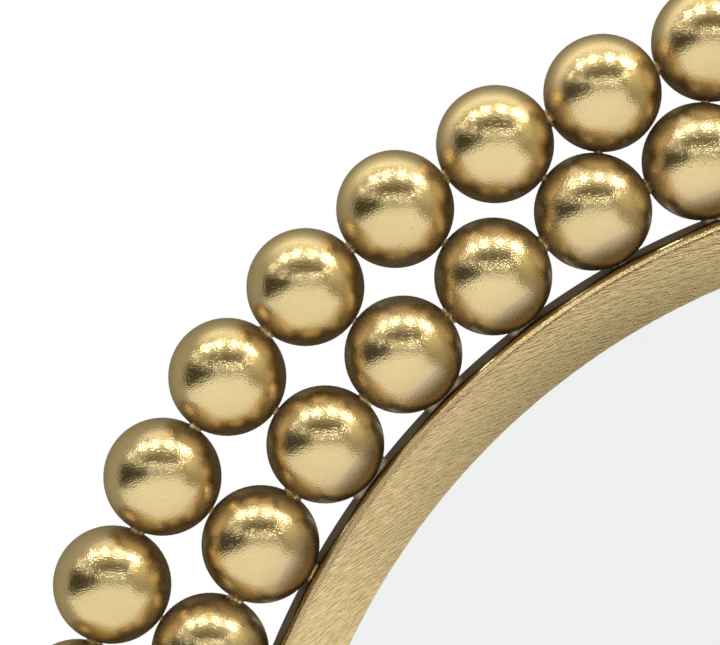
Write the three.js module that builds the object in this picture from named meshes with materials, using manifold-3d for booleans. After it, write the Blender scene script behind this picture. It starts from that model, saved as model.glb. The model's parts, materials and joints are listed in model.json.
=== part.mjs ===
// Girandole wall mirror: a round mirror in a brushed metal ring, with two rows of metal balls
// welded round it. Millimetres. +Z is up, +X is to the right, and the front faces -Y.
// The origin is the mirror's centre on the wall plane, which the rubber bumpers touch.
// Angles round the mirror are in degrees from +X towards +Z.
import * as THREE from 'three';
import Module from 'manifold-3d';
import { mergeVertices } from 'three/addons/utils/BufferGeometryUtils.js';

const wasm = await Module();
wasm.setup();

// ---------------------------------------------------------------- driving dimensions

const clearance = 0.3; // air left between pieces that touch or are welded

// The two rows of balls
const ballDiameter = 50;
const ballSetBack = 1.6; // the balls' centres lie this far behind the foot of the ring's shoulder
const innerRowAngle = 143.0; // angle of the first ball welded in the inner row
const outerRowAngle = 143.3; // angle of the first ball welded in the outer row
const innerChainCount = 12; // welded chains that the inner row is made of
const outerChainCount = 13; // and the outer row
const weldRadius = 3; // weld bead between two balls

// The ring, a channel of pressed sheet that is open at the back
const sightRadius = 307.9; // inner edge of the face, where the mirror starts to show
const faceWidth = 22.7; // flat face, from there to the shoulder
const shoulderRadius = 4.4; // rounded shoulder between the face and the outer wall
const wallDraft = 1.9; // the wall is this much wider at the back
const rebateLap = 12.1; // the inner wall, or rebate, lies this far outside the face's inner edge
const sheetThickness = 1.5;
const lipRounding = 0.6; // broken edge of the lip over the mirror

// What lies in the ring, from the back to the front
const bumperHeight = 9;
const boardThickness = 15;
const cushionThickness = 2;
const glassThickness = 4;
const tapeThickness = 1;
const tapeSetBack = 2; // the tape starts this far outside the lip's edge
const tapeWidth = 7;
const rebateClearance = 0.8; // between the rebate and the board, the sheet and the glass

// Turn buttons that hold the board in, each on a lug welded across the channel
const buttonCount = 6;
const firstButtonAngle = 30;
const lugWidth = 20;
const lugThickness = 3;
const buttonReach = 30; // from the pivot to the centre of the button's free end
const buttonWidth = 11;
const buttonThickness = 1.5;

// Strap hangers with a D-ring, screwed to the board
const hangerX = 175;
const hangerZ = 150; // height of the D-ring's bar
const strapWidth = 16;
const strapEnd = 10; // from the lower screw to the strap's lower end
const strapThickness = 1.5;
const hangerWireRadius = 1.5;
const hangerRingPlay = 1.5; // air between each side of the strap and the D-ring
const hangerRingHeight = 18; // from the middle of the bar to the middle of the arch
const hangerRingCorner = 2.5;
const hangerScrewDrops = [14, 36]; // from the bar down to each screw

// Screws
const shankRadius = 1.7;
const headRadius = 3.6;
const headHeight = 2;
const headCrown = 0.8; // part of the head's height that is domed
const buttonScrewLength = 10;
const hangerScrewLength = 12;

// Rubber bumpers on the board
const bumperRadius = 7;
const bumperTaper = 1;
const bumperInset = 35; // from the rebate in to their middles
const bumperAngles = [60, 120, 240, 300];

// Facets
const ringFacets = 72;
const ballSides = 8; // round each ball's own axis, along its row
const ballBands = 6; // from one weld to the next
const smallFacets = 8;
const arcSteps = 4; // half the facets of each arc of an outline
const shoulderSteps = 3;

// ---------------------------------------------------------------- places worked out from them

const ballRadius = ballDiameter / 2;
const wallRadius = sightRadius + faceWidth + shoulderRadius; // at the foot of the shoulder
const rebateRadius = sightRadius + rebateLap;
const sheetRadius = rebateRadius - rebateClearance; // of the glass, the cushion and the board
const boardBackY = -bumperHeight - clearance;
const boardFrontY = boardBackY - boardThickness;
const cushionBackY = boardFrontY - clearance;
const cushionFrontY = cushionBackY - cushionThickness;
const glassBackY = cushionFrontY - clearance;
const glassFrontY = glassBackY - glassThickness;
const tapeBackY = glassFrontY - clearance;
const tapeFrontY = tapeBackY - tapeThickness;
const lipBackY = tapeFrontY - clearance;
const ringFrontY = lipBackY - sheetThickness;
const ringBackY = boardBackY + clearance;

const wallFrontY = ringFrontY + shoulderRadius;
const ballY = wallFrontY + ballSetBack;
const wallSlope = wallDraft / (ringBackY - wallFrontY);
const wallRadiusAt = (y) => wallRadius + wallSlope * (y - wallFrontY);

const spacing = ballDiameter + clearance; // least distance between two balls' centres
const seatDistance = (ballRadius + clearance) * Math.hypot(1, wallSlope);
const innerRowRadius = wallRadiusAt(ballY) + seatDistance;

const channelInnerRadius = rebateRadius + sheetThickness;
const channelOuterRadius = wallRadiusAt(ringBackY) - sheetThickness;
const pivotRadius = (channelInnerRadius + channelOuterRadius) / 2;
const buttonFrontY = ringBackY + clearance;
const buttonBackY = buttonFrontY + buttonThickness;
const buttonHeadY = buttonBackY + clearance;
const strapFrontY = boardBackY + clearance;
const strapBackY = strapFrontY + strapThickness;
const strapHeadY = strapBackY + clearance;
const strapLength = Math.max(...hangerScrewDrops) + strapEnd; // from the D-ring's bar down
const hangerRingWidth = strapWidth + 2 * (hangerRingPlay + hangerWireRadius); // wire to wire
const eyeHoleRadius = hangerWireRadius + clearance;
const eyeRadius = eyeHoleRadius + strapThickness;
const eyeY = strapFrontY + eyeRadius;
const holeRadius = shankRadius + clearance;

// ---------------------------------------------------------------- materials

const finish = (colour, roughness, metalness) => ({ color: colour, roughness, metalness });
const agedGold = finish(0xcbb27a, 0.3, 1);
const brushedGold = finish(0xc4ad78, 0.42, 1);
const silvered = finish(0xf2f3f4, 0.03, 1);
const foam = finish(0x3a3a3a, 0.95, 0);
const feltGrey = finish(0x6d6a64, 1, 0);
const paintedBoard = finish(0x1f1c1a, 0.7, 0);
const zincSteel = finish(0xb9bcc0, 0.35, 1);
const rubber = finish(0x161616, 0.9, 0);

// ---------------------------------------------------------------- helpers

const part = new THREE.Group();
const radians = (angle) => THREE.MathUtils.degToRad(angle);
const yAxis = new THREE.Vector3(0, 1, 0);

function add(name, geometry, look, place = {}) {
  const mesh = new THREE.Mesh(geometry, new THREE.MeshStandardMaterial(look));
  mesh.name = name;
  mesh.position.set(place.x ?? 0, place.y ?? 0, place.z ?? 0);
  mesh.rotation.set(place.tilt ?? 0, place.turn ?? 0, 0);
  part.add(mesh);
}

function onCircle(radius, angle, y) {
  const turn = radians(angle);
  return new THREE.Vector3(radius * Math.cos(turn), y, radius * Math.sin(turn));
}

function lathe(profile, facets) {
  return new THREE.LatheGeometry(profile.map(([r, y]) => new THREE.Vector2(r, y)), facets);
}

function disc(radius, frontY, backY) {
  const geometry = new THREE.CylinderGeometry(radius, radius, backY - frontY, ringFacets);
  return geometry.translate(0, (frontY + backY) / 2, 0);
}

// A solid skinned over a row of rings of points, closed into a loop or with a flat lid at each end.
function skin(rings, isLoop) {
  const sides = rings[0].length;
  const corners = rings.flat().flatMap((p) => [p.x, p.y, p.z]);
  const triangles = [];
  const bands = isLoop ? rings.length : rings.length - 1;
  for (let band = 0; band < bands; band += 1) {
    const here = band * sides;
    const there = ((band + 1) % rings.length) * sides;
    for (let side = 0; side < sides; side += 1) {
      const next = (side + 1) % sides;
      triangles.push(here + side, here + next, there + side);
      triangles.push(here + next, there + next, there + side);
    }
  }
  if (!isLoop) {
    const last = (rings.length - 1) * sides;
    for (let side = 1; side < sides - 1; side += 1) {
      triangles.push(0, side + 1, side);
      triangles.push(last, last + side, last + side + 1);
    }
  }
  const geometry = new THREE.BufferGeometry();
  geometry.setAttribute('position', new THREE.Float32BufferAttribute(corners, 3));
  geometry.setIndex(triangles);
  geometry.computeVertexNormals();
  return geometry;
}

// A ring of points about centre, square to axis. The first point lies towards up.
function ringOfPoints(centre, axis, up, radius, sides) {
  const across = new THREE.Vector3().crossVectors(axis, up);
  return Array.from({ length: sides }, (_, side) => {
    const angle = (side / sides) * 2 * Math.PI;
    return centre
      .clone()
      .addScaledVector(up, radius * Math.cos(angle))
      .addScaledVector(across, radius * Math.sin(angle));
  });
}

function toSolid(geometry) {
  const bare = geometry.clone();
  bare.deleteAttribute('normal');
  bare.deleteAttribute('uv');
  const merged = mergeVertices(bare, 1e-4);
  const vertProperties = new Float32Array(merged.attributes.position.array);
  const triVerts = new Uint32Array(merged.index.array);
  return new wasm.Manifold(new wasm.Mesh({ numProp: 3, vertProperties, triVerts }));
}

function fromSolid(solid) {
  const mesh = solid.getMesh();
  const geometry = new THREE.BufferGeometry();
  geometry.setAttribute('position', new THREE.BufferAttribute(mesh.vertProperties, 3));
  geometry.setIndex(new THREE.BufferAttribute(mesh.triVerts, 1));
  geometry.computeVertexNormals();
  return geometry;
}

// geometry with a round hole along Y at each of the given places, from fromY to toY
function drilled(geometry, places, fromY, toY) {
  const drill = new THREE.CylinderGeometry(holeRadius, holeRadius, toY - fromY, smallFacets);
  drill.translate(0, (fromY + toY) / 2, 0);
  const cut = (solid, [x, z]) => solid.subtract(toSolid(drill.clone().translate(x, 0, z)));
  return fromSolid(places.reduce(cut, toSolid(geometry)));
}

function extruded(outline, depth) {
  return new THREE.ExtrudeGeometry(outline, { depth, bevelEnabled: false, curveSegments: arcSteps });
}

// A flat outline in X and Z, thickened from frontY to backY
function plate(outline, frontY, backY) {
  return extruded(outline, backY - frontY).rotateX(-Math.PI / 2).translate(0, frontY, 0);
}

// ---------------------------------------------------------------- the rows of balls

// Where the balls' centres of each row lie. The inner row sits on the ring.
function innerRow() {
  const count = Math.floor(Math.PI / Math.asin(spacing / 2 / innerRowRadius));
  return Array.from({ length: count }, (_, i) => {
    return onCircle(innerRowRadius, innerRowAngle + (i * 360) / count, ballY);
  });
}

// The outer row rests on the inner one, so it dips where a ball falls between two inner balls.
// The balls are as many as fit, spread at equal steps along that wavy line.
function outerRow(innerCount) {
  const innerStep = 360 / innerCount;
  const radiusAt = (angle) => {
    const steps = (angle - innerRowAngle) / innerStep;
    const off = radians((steps - Math.round(steps)) * innerStep);
    const along = innerRowRadius * Math.cos(off);
    return along + Math.sqrt(spacing ** 2 - (innerRowRadius * Math.sin(off)) ** 2);
  };
  const centreAt = (angle) => onCircle(radiusAt(angle), angle, ballY);
  const solve = (low, high, isShort) => {
    for (let halving = 0; halving < 50; halving += 1) {
      const middle = (low + high) / 2;
      [low, high] = isShort(middle) ? [middle, high] : [low, middle];
    }
    return low;
  };
  const nextAngle = (angle, step) => {
    const here = centreAt(angle);
    return solve(angle, angle + 2 * innerStep, (tried) => centreAt(tried).distanceTo(here) < step);
  };
  const walk = (count, step) => {
    const angles = [outerRowAngle];
    while (angles.length <= count) angles.push(nextAngle(angles.at(-1), step));
    return angles;
  };
  const fullTurn = outerRowAngle + 360;
  let count = 1;
  while (walk(count + 1, spacing).at(-1) <= fullTurn) count += 1;
  const step = solve(spacing, 2 * spacing, (tried) => walk(count, tried).at(-1) < fullTurn);
  return walk(count, step).slice(0, count).map(centreAt);
}

// Balls first to last of a row, welded to each other, with half a weld at each end of the chain.
function ballChain(row, first, last) {
  const at = (i) => row[(i + row.length) % row.length];
  const weld = (i, shift) => {
    const axis = at(i + 1).clone().sub(at(i)).normalize();
    const centre = at(i).clone().add(at(i + 1)).multiplyScalar(0.5).addScaledVector(axis, shift);
    const outward = new THREE.Vector3().crossVectors(yAxis, axis);
    return ringOfPoints(centre, axis, outward, weldRadius, ballSides);
  };
  const rings = [weld(first - 1, clearance / 2)];
  for (let i = first; i <= last; i += 1) {
    const axis = at(i + 1).clone().sub(at(i - 1)).normalize();
    const outward = new THREE.Vector3().crossVectors(yAxis, axis);
    for (let band = 1; band < ballBands; band += 1) {
      const turn = (band / ballBands) * Math.PI;
      const centre = at(i).clone().addScaledVector(axis, -ballRadius * Math.cos(turn));
      rings.push(ringOfPoints(centre, axis, outward, ballRadius * Math.sin(turn), ballSides));
    }
    rings.push(weld(i, i === last ? -clearance / 2 : 0));
  }
  return skin(rings, false);
}

function addBallRow(name, row, chainCount) {
  for (let chain = 0; chain < chainCount; chain += 1) {
    const first = Math.round((chain * row.length) / chainCount);
    const last = Math.round(((chain + 1) * row.length) / chainCount) - 1;
    add(`${name}_${String(chain + 1).padStart(2, '0')}`, ballChain(row, first, last), agedGold);
  }
}

// ---------------------------------------------------------------- the ring and what it holds

function ringGeometry() {
  const shoulder = (radius, foot) => {
    return Array.from({ length: shoulderSteps + 1 }, (_, step) => {
      const turn = (step / shoulderSteps) * (Math.PI / 2);
      return [foot + radius * (Math.cos(turn) - 1), wallFrontY - radius * Math.sin(turn)];
    });
  };
  const profile = [
    [wallRadiusAt(ringBackY), ringBackY],
    [channelOuterRadius, ringBackY],
    ...shoulder(shoulderRadius - sheetThickness, wallRadius - sheetThickness),
    [channelInnerRadius, lipBackY],
    [channelInnerRadius, ringBackY],
    [rebateRadius, ringBackY],
    [rebateRadius, lipBackY],
    [sightRadius, lipBackY],
    [sightRadius, ringFrontY + lipRounding],
    [sightRadius + lipRounding, ringFrontY],
    ...shoulder(shoulderRadius, wallRadius).reverse(),
    [wallRadiusAt(ringBackY), ringBackY],
  ];
  return lathe(profile, ringFacets);
}

function tapeGeometry() {
  const inner = sightRadius + tapeSetBack;
  const outer = inner + tapeWidth;
  return lathe(
    [
      [inner, tapeFrontY],
      [outer, tapeFrontY],
      [outer, tapeBackY],
      [inner, tapeBackY],
      [inner, tapeFrontY],
    ],
    ringFacets
  );
}

// ---------------------------------------------------------------- fasteners

// A pan-head screw that points to -Y, with the seat of its head at seatY.
function screwGeometry(seatY, length) {
  const profile = [
    [0, seatY - length],
    [shankRadius, seatY - length],
    [shankRadius, seatY],
    [headRadius, seatY],
    [headRadius, seatY + headHeight - headCrown],
    [headRadius - headCrown, seatY + headHeight],
    [0, seatY + headHeight],
  ];
  return lathe(profile, smallFacets);
}

function roundHole(x) {
  return new THREE.Path().absarc(x, 0, holeRadius, 0, 2 * Math.PI, true);
}

// A small plate that bridges the channel's two walls, tapped for the button's screw.
function lugGeometry() {
  const half = lugWidth / 2;
  const inner = channelInnerRadius + clearance - pivotRadius;
  const facetEdge = (channelOuterRadius - wallSlope * lugThickness) * Math.cos(Math.PI / ringFacets);
  const outer = Math.sqrt((facetEdge - clearance) ** 2 - half ** 2) - pivotRadius;
  const outline = new THREE.Shape();
  outline.moveTo(inner, -half);
  outline.lineTo(outer, -half);
  outline.lineTo(outer, half);
  outline.lineTo(inner, half);
  outline.closePath();
  outline.holes.push(roundHole(0));
  return plate(outline, ringBackY - lugThickness, ringBackY);
}

// A strip with round ends that turns about the hole in one of them.
function buttonGeometry() {
  const half = buttonWidth / 2;
  const outline = new THREE.Shape();
  outline.absarc(0, 0, half, -Math.PI / 2, Math.PI / 2);
  outline.absarc(-buttonReach, 0, half, Math.PI / 2, (3 * Math.PI) / 2);
  outline.closePath();
  outline.holes.push(roundHole(0));
  return plate(outline, buttonFrontY, buttonBackY);
}

// ---------------------------------------------------------------- hangers

// A strap whose top is rolled into an eye round the D-ring's bar, with two screw holes.
function strapGeometry() {
  const rollStart = Math.asin((eyeRadius - strapThickness) / eyeRadius);
  const outline = new THREE.Shape();
  outline.moveTo(strapFrontY - eyeY, -strapLength);
  outline.lineTo(strapBackY - eyeY, -strapLength);
  outline.absarc(0, 0, eyeRadius, -Math.PI + (Math.PI / 2 - rollStart), Math.PI);
  outline.closePath();
  outline.holes.push(new THREE.Path().absarc(0, 0, eyeHoleRadius, 0, 2 * Math.PI, true));
  const geometry = extruded(outline, strapWidth).translate(0, 0, -strapWidth / 2);
  const toYZX = new THREE.Matrix4().makeBasis(
    yAxis,
    new THREE.Vector3(0, 0, 1),
    new THREE.Vector3(1, 0, 0)
  );
  geometry.applyMatrix4(toYZX);
  const holes = hangerScrewDrops.map((drop) => [0, -drop]);
  return drilled(geometry, holes, -eyeRadius - clearance, eyeRadius);
}

// The wire D-ring, with its bar along X through the origin and its arch towards +Z.
function hangerRingGeometry() {
  const half = hangerRingWidth / 2;
  const corner = hangerRingCorner;
  const archBase = hangerRingHeight - half;
  const route = new THREE.Path();
  route.moveTo(-half + corner, 0);
  route.lineTo(half - corner, 0);
  route.absarc(half - corner, corner, corner, -Math.PI / 2, 0);
  route.absarc(0, archBase, half, 0, Math.PI);
  route.absarc(-half + corner, corner, corner, Math.PI, (3 * Math.PI) / 2);
  const points = route.getPoints(2).map((p) => new THREE.Vector3(p.x, 0, p.y));
  const distinct = points.filter((p, i) => p.distanceTo(points.at(i - 1)) > 1e-6);
  const rings = distinct.map((p, i) => {
    const before = distinct.at(i - 1);
    const after = distinct[(i + 1) % distinct.length];
    const incoming = p.clone().sub(before).normalize();
    const axis = after.clone().sub(p).normalize().add(incoming).normalize();
    return ringOfPoints(p, axis, yAxis, hangerWireRadius, smallFacets);
  });
  return skin(rings, true);
}

function addHanger(side, x) {
  const screwPlaces = hangerScrewDrops.map((drop) => hangerZ - drop);
  const reachToBoard = eyeY - boardBackY - eyeHoleRadius;
  const lean = Math.asin(reachToBoard / hangerRingHeight);
  add(`hanger_strap_${side}`, strapGeometry(), zincSteel, { x, y: eyeY, z: hangerZ });
  add(`hanger_ring_${side}`, hangerRingGeometry(), zincSteel, { x, y: eyeY, z: hangerZ, tilt: lean });
  screwPlaces.forEach((z, i) => {
    const geometry = screwGeometry(strapHeadY, hangerScrewLength);
    add(`hanger_screw_${side}_${i + 1}`, geometry, zincSteel, { x, z });
  });
}

// ---------------------------------------------------------------- assembly

add('frame_ring', ringGeometry(), brushedGold);
add('mirror_glass', disc(sheetRadius, glassFrontY, glassBackY), silvered);
add('glazing_tape', tapeGeometry(), foam);
add('cushion_sheet', disc(sheetRadius, cushionFrontY, cushionBackY), feltGrey);

const hangerXs = { left: hangerX, right: -hangerX }; // as seen from behind
const boardHoles = Object.values(hangerXs).flatMap((x) => {
  return hangerScrewDrops.map((drop) => [x, hangerZ - drop]);
});
const boardHoleEndY = strapHeadY - hangerScrewLength - clearance;
const boardDisc = disc(sheetRadius, boardFrontY, boardBackY);
add('backing_board', drilled(boardDisc, boardHoles, boardHoleEndY, 0), paintedBoard);

const innerBalls = innerRow();
addBallRow('inner_balls', innerBalls, innerChainCount);
addBallRow('outer_balls', outerRow(innerBalls.length), outerChainCount);

for (let i = 0; i < buttonCount; i += 1) {
  const angle = firstButtonAngle + (i * 360) / buttonCount;
  const pivot = onCircle(pivotRadius, angle, 0);
  const place = { x: pivot.x, z: pivot.z, turn: -radians(angle) };
  add(`button_lug_${i + 1}`, lugGeometry(), zincSteel, place);
  add(`turn_button_${i + 1}`, buttonGeometry(), zincSteel, place);
  add(`turn_button_screw_${i + 1}`, screwGeometry(buttonHeadY, buttonScrewLength), zincSteel, place);
}

for (const [side, x] of Object.entries(hangerXs)) addHanger(side, x);

bumperAngles.forEach((angle, i) => {
  const foot = onCircle(rebateRadius - bumperInset, angle, 0);
  const profile = [
    [0, -bumperHeight],
    [bumperRadius, -bumperHeight],
    [bumperRadius - bumperTaper, 0],
    [0, 0],
  ];
  add(`wall_bumper_${i + 1}`, lathe(profile, smallFacets), rubber, { x: foot.x, z: foot.z });
});

export default part;
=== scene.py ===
"""Girandole wall mirror: a brushed gold ring with two rows of gold balls welded round it.

Metres. +Z is up, +X is to the right, the front faces -Y, and the wall plane is y = 0.
Angles round the mirror are in degrees from +X towards +Z.
"""

import json
import math

import bpy
from bpy.props import FloatProperty, FloatVectorProperty, IntProperty, PointerProperty
from bpy.types import Operator, Panel, PropertyGroup
from mathutils import Matrix, Vector, noise


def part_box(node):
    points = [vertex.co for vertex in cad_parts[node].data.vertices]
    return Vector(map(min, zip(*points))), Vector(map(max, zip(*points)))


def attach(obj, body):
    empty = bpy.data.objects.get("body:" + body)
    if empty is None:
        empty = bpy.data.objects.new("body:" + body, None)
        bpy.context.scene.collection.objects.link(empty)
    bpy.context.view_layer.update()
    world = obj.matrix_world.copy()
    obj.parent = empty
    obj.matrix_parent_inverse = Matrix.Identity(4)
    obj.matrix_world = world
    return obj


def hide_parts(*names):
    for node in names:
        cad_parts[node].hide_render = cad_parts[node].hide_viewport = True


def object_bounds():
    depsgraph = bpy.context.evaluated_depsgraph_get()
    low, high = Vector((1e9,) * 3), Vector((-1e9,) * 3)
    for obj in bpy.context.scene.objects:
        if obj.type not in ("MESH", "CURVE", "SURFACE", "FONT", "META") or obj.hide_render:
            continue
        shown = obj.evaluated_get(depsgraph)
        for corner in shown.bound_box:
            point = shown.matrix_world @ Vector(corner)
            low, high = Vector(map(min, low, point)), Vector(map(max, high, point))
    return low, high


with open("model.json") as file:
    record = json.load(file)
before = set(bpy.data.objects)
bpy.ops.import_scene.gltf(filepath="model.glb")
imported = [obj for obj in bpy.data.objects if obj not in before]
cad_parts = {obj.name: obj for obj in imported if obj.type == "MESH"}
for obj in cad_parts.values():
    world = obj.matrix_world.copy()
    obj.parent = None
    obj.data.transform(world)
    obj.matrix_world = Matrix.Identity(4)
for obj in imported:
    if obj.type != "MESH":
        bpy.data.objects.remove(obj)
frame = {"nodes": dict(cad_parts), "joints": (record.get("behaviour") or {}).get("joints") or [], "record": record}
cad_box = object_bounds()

bl_info = {
    "name": "Girandole Mirror",
    "version": (1, 0, 0),
    "blender": (4, 5, 0),
    "location": "3D View > Sidebar > Mirror",
    "description": "Builds the looks of a round mirror framed by two rows of gold balls",
    "category": "Object",
}

MM = 0.001
Y_AXIS = Vector((0, 1, 0))

RING_LOW, RING_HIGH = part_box("frame_ring")
BOARD_LOW, BOARD_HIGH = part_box("backing_board")
BODY_OF = {
    node: body
    for body, members in frame["record"]["behaviour"]["bodies"].items()
    for node in members
}


# ---------------------------------------------------------------- settings


def length(name, description, default, **limits):
    """A size in metres that shows with its unit."""
    return FloatProperty(
        name=name, description=description, default=default, unit="LENGTH", precision=4, **limits
    )


def colour(name, description, default):
    """A colour, as linear red, green and blue."""
    return FloatVectorProperty(
        name=name, description=description, default=default, subtype="COLOR", size=3, min=0, max=1
    )


def angle(name, description, degrees):
    """An angle, whose default is given in degrees."""
    return FloatProperty(
        name=name, description=description, default=math.radians(degrees), subtype="ANGLE"
    )


class BallSettings(PropertyGroup):
    """The two rows of balls and their welds"""

    diameter: length("Ball diameter", "Diameter of every ball", 50 * MM, min=0.01)
    gap: length("Weld gap", "Least air between two balls, which the weld bridges", 0.3 * MM)
    depth: length("Depth", "Distance of the balls' centres from the wall plane", 28 * MM)
    inner_radius: length(
        "Inner row radius", "From the mirror's centre to the inner balls", 360.5553 * MM
    )
    inner_start: angle("Inner start", "Angle of the first ball of the inner row", 143.0)
    outer_start: angle("Outer start", "Angle of the first ball of the outer row", 143.3)
    inner_chains: IntProperty(
        name="Inner chains", description="Welded chains in the inner row", default=12, min=1
    )
    outer_chains: IntProperty(
        name="Outer chains", description="Welded chains in the outer row", default=13, min=1
    )
    bead_radius: length("Bead radius", "Half the length of a weld bead in a row", 3.2 * MM)
    gold: colour("Aged gold", "Sprayed gold of the balls", (0.78, 0.62, 0.31))
    # painted shade: this brown stands for the dark where balls face each other and face the ring
    patina: colour("Patina", "Thin brown spray where balls face each other", (0.69, 0.54, 0.31))
    weld: colour("Bright weld", "Bare metal of the weld beads", (1.0, 0.82, 0.48))


class RingSettings(PropertyGroup):
    """The ring of pressed sheet round the mirror"""

    sight_radius: length("Sight radius", "Inner edge of the face", 307.9 * MM)
    face_width: length("Face width", "Flat brushed face", 22.7 * MM)
    shoulder: length("Shoulder", "Radius of the rounded outer edge", 4.4 * MM)
    sheet: length("Sheet thickness", "Thickness of the pressed sheet", 1.5 * MM)
    rebate_lap: length("Rebate lap", "The rebate lies this far outside the inner edge", 12.1 * MM)
    lip: length("Lip rounding", "Broken inner edge of the face", 0.6 * MM)
    chipping: length("Chipping", "How far the inner edge wanders", 0.16 * MM)
    gold: colour("Brushed gold", "Gold of the brushed face", (0.78, 0.60, 0.305))
    wall: colour("Outer wall", "Unpolished outer wall and the fillets", (0.52, 0.45, 0.335))


class BackSettings(PropertyGroup):
    """The board, its buttons, the hangers and the bumpers"""

    button_width: length("Button width", "Width of a turn button", 11 * MM)
    button_reach: length("Button reach", "From the screw to the button's free end", 30 * MM)
    sheet: length("Steel thickness", "Thickness of the buttons and the straps", 1.5 * MM)
    lug_width: length("Lug width", "Width of the lug that a button is screwed to", 20 * MM)
    head_radius: length("Head radius", "Radius of a screw head", 3.6 * MM)
    head_height: length("Head height", "Height of a screw head", 2 * MM)
    shank_radius: length("Shank radius", "Radius of a screw", 1.7 * MM)
    strap_width: length("Strap width", "Width of a hanger strap", 16 * MM)
    wire_radius: length("Wire radius", "Radius of the wire of a D-ring", 1.5 * MM)
    ring_width: length("D-ring width", "Between the middles of a D-ring's sides", 22 * MM)
    ring_height: length("D-ring height", "From the bar to the top of the arch", 18 * MM)
    bumper_radius: length("Bumper radius", "Radius of a rubber bumper", 7 * MM)
    steel: colour("Zinc steel", "Zinc-plated steel", (0.62, 0.63, 0.65))
    paint: colour("Board paint", "Paint of the backing board", (0.016, 0.014, 0.013))
    rubber: colour("Rubber", "Rubber of the bumpers", (0.010, 0.010, 0.010))


class StudioSettings(PropertyGroup):
    """The floor, the lamps, what the metal reflects, and the camera"""

    floor: colour("Floor", "Plain pale floor", (0.92, 0.92, 0.915))
    ambient: FloatProperty(
        name="Ambient", description="World light on dull surfaces", default=0.85, min=0
    )
    lamp_power: FloatProperty(
        name="Lamp power", description="Power of one near ceiling lamp", default=3.8, unit="POWER"
    )
    # the flags and the roof glow with these painted tones; no lamp lights them
    front_flag: colour("Front flag", "Dark cloth over the camera", (0.13, 0.11, 0.07))
    left_flag: colour("Left flag", "Dark cloth at the left", (0.05, 0.047, 0.035))
    right_flag: colour("Right flag", "Lighter cloth at the right", (0.40, 0.365, 0.26))
    roof: colour("Roof", "Studio ceiling", (0.46, 0.43, 0.36))
    camera_distance: length("Camera distance", "From the balls to the camera", 1.2)
    frame_width: length("Frame width", "Width of the picture at the balls", 304.39 * MM)
    camera_x: length("Camera X", "Sideways place of the camera", -273.3 * MM)
    camera_z: length("Camera Z", "Height of the camera", 268.5 * MM)


class MirrorSettings(PropertyGroup):
    """All settings of the mirror"""

    balls: PointerProperty(type=BallSettings)
    ring: PointerProperty(type=RingSettings)
    back: PointerProperty(type=BackSettings)
    studio: PointerProperty(type=StudioSettings)


# ---------------------------------------------------------------- materials


class Value:
    """A socket of a node tree. Arithmetic on it adds Math nodes."""

    def __init__(self, finish, socket):
        self.finish = finish
        self.socket = socket

    def math(self, operation, *others):
        """This value and others through one Math node."""
        operands = {index: item for index, item in enumerate((self, *others))}
        return self.finish.node("ShaderNodeMath", {"operation": operation}, operands)

    def __add__(self, other):
        return self.math("ADD", other)

    def __sub__(self, other):
        return self.math("SUBTRACT", other)

    def __mul__(self, other):
        return self.math("MULTIPLY", other)

    def __truediv__(self, other):
        return self.math("DIVIDE", other)

    def __pow__(self, other):
        return self.math("POWER", other)

    def __rsub__(self, other):
        return self.math("MULTIPLY", -1.0) + other

    __radd__ = __add__
    __rmul__ = __mul__

    def clamped(self):
        """This value, held between 0 and 1."""
        return self.math("MAXIMUM", 0.0).math("MINIMUM", 1.0)

    def step(self, start, end):
        """0 at start, 1 at end, and straight between them."""
        return ((self - start) / (end - start)).clamped()

    def beside(self, name):
        """Another output of the same node."""
        return Value(self.finish, self.socket.node.outputs[name])


class Finish:
    """A material or world under construction."""

    def __init__(self, owner):
        self.owner = owner
        owner.use_nodes = True
        owner.node_tree.nodes.clear()

    def node(self, kind, settings=None, sockets=None, output=0):
        """Adds a node: its settings first, then the values or links of its sockets."""
        made = self.owner.node_tree.nodes.new(kind)
        for name, value in (settings or {}).items():
            setattr(made, name, value)
        for key, value in (sockets or {}).items():
            if isinstance(value, Value):
                self.owner.node_tree.links.new(value.socket, made.inputs[key])
            else:
                made.inputs[key].default_value = value
        return Value(self, made.outputs[output]) if len(made.outputs) else made

    def place(self):
        """The place on the surface, in metres, as a vector."""
        return self.node("ShaderNodeTexCoord", output="Object")

    def split(self, vector):
        """The three numbers of a vector."""
        made = self.node("ShaderNodeSeparateXYZ", sockets={0: vector})
        return [made.beside(axis) for axis in "XYZ"]

    def joined(self, x, y, z):
        """The vector of three numbers."""
        return self.node("ShaderNodeCombineXYZ", sockets={"X": x, "Y": y, "Z": z})

    def grain(self, vector, size, detail=2.0, roughness=0.5):
        """Noise from 0 to 1 with grains of the given size in metres."""
        sockets = {"Vector": vector, "Scale": 1 / size, "Detail": detail, "Roughness": roughness}
        return self.node("ShaderNodeTexNoise", sockets=sockets)

    def dots(self, vector, size, share, radius):
        """1 in round dots, one in the given share of cells of the given size."""
        cells = self.node("ShaderNodeTexVoronoi", sockets={"Vector": vector, "Scale": 1 / size})
        draw = self.node("ShaderNodeSeparateColor", sockets={0: cells.beside("Color")})
        return draw.math("LESS_THAN", share) * cells.beside("Distance").step(radius, radius * 0.6)

    def mix(self, factor, first, second):
        """first where factor is 0, second where it is 1."""
        sockets = {0: factor, 6: rgba(first), 7: rgba(second)}
        return self.node("ShaderNodeMix", {"data_type": "RGBA"}, sockets, output=2)

    def shades(self, factor, shade, first, second):
        """One colour times first where factor is 0, and times second where it is 1."""
        return self.mix(factor, shaded(shade, first), shaded(shade, second))

    def bump(self, height, depth, strength=1.0):
        """A surface normal raised by height times depth."""
        sockets = {"Height": height, "Distance": depth, "Strength": strength}
        return self.node("ShaderNodeBump", sockets=sockets)

    def surface(self, **sockets):
        """Ends a material in the Principled shader."""
        named = {key.replace("_", " "): value for key, value in sockets.items()}
        shader = self.node("ShaderNodeBsdfPrincipled", sockets=named)
        self.node("ShaderNodeOutputMaterial", sockets={"Surface": shader})
        return self.owner


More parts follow.
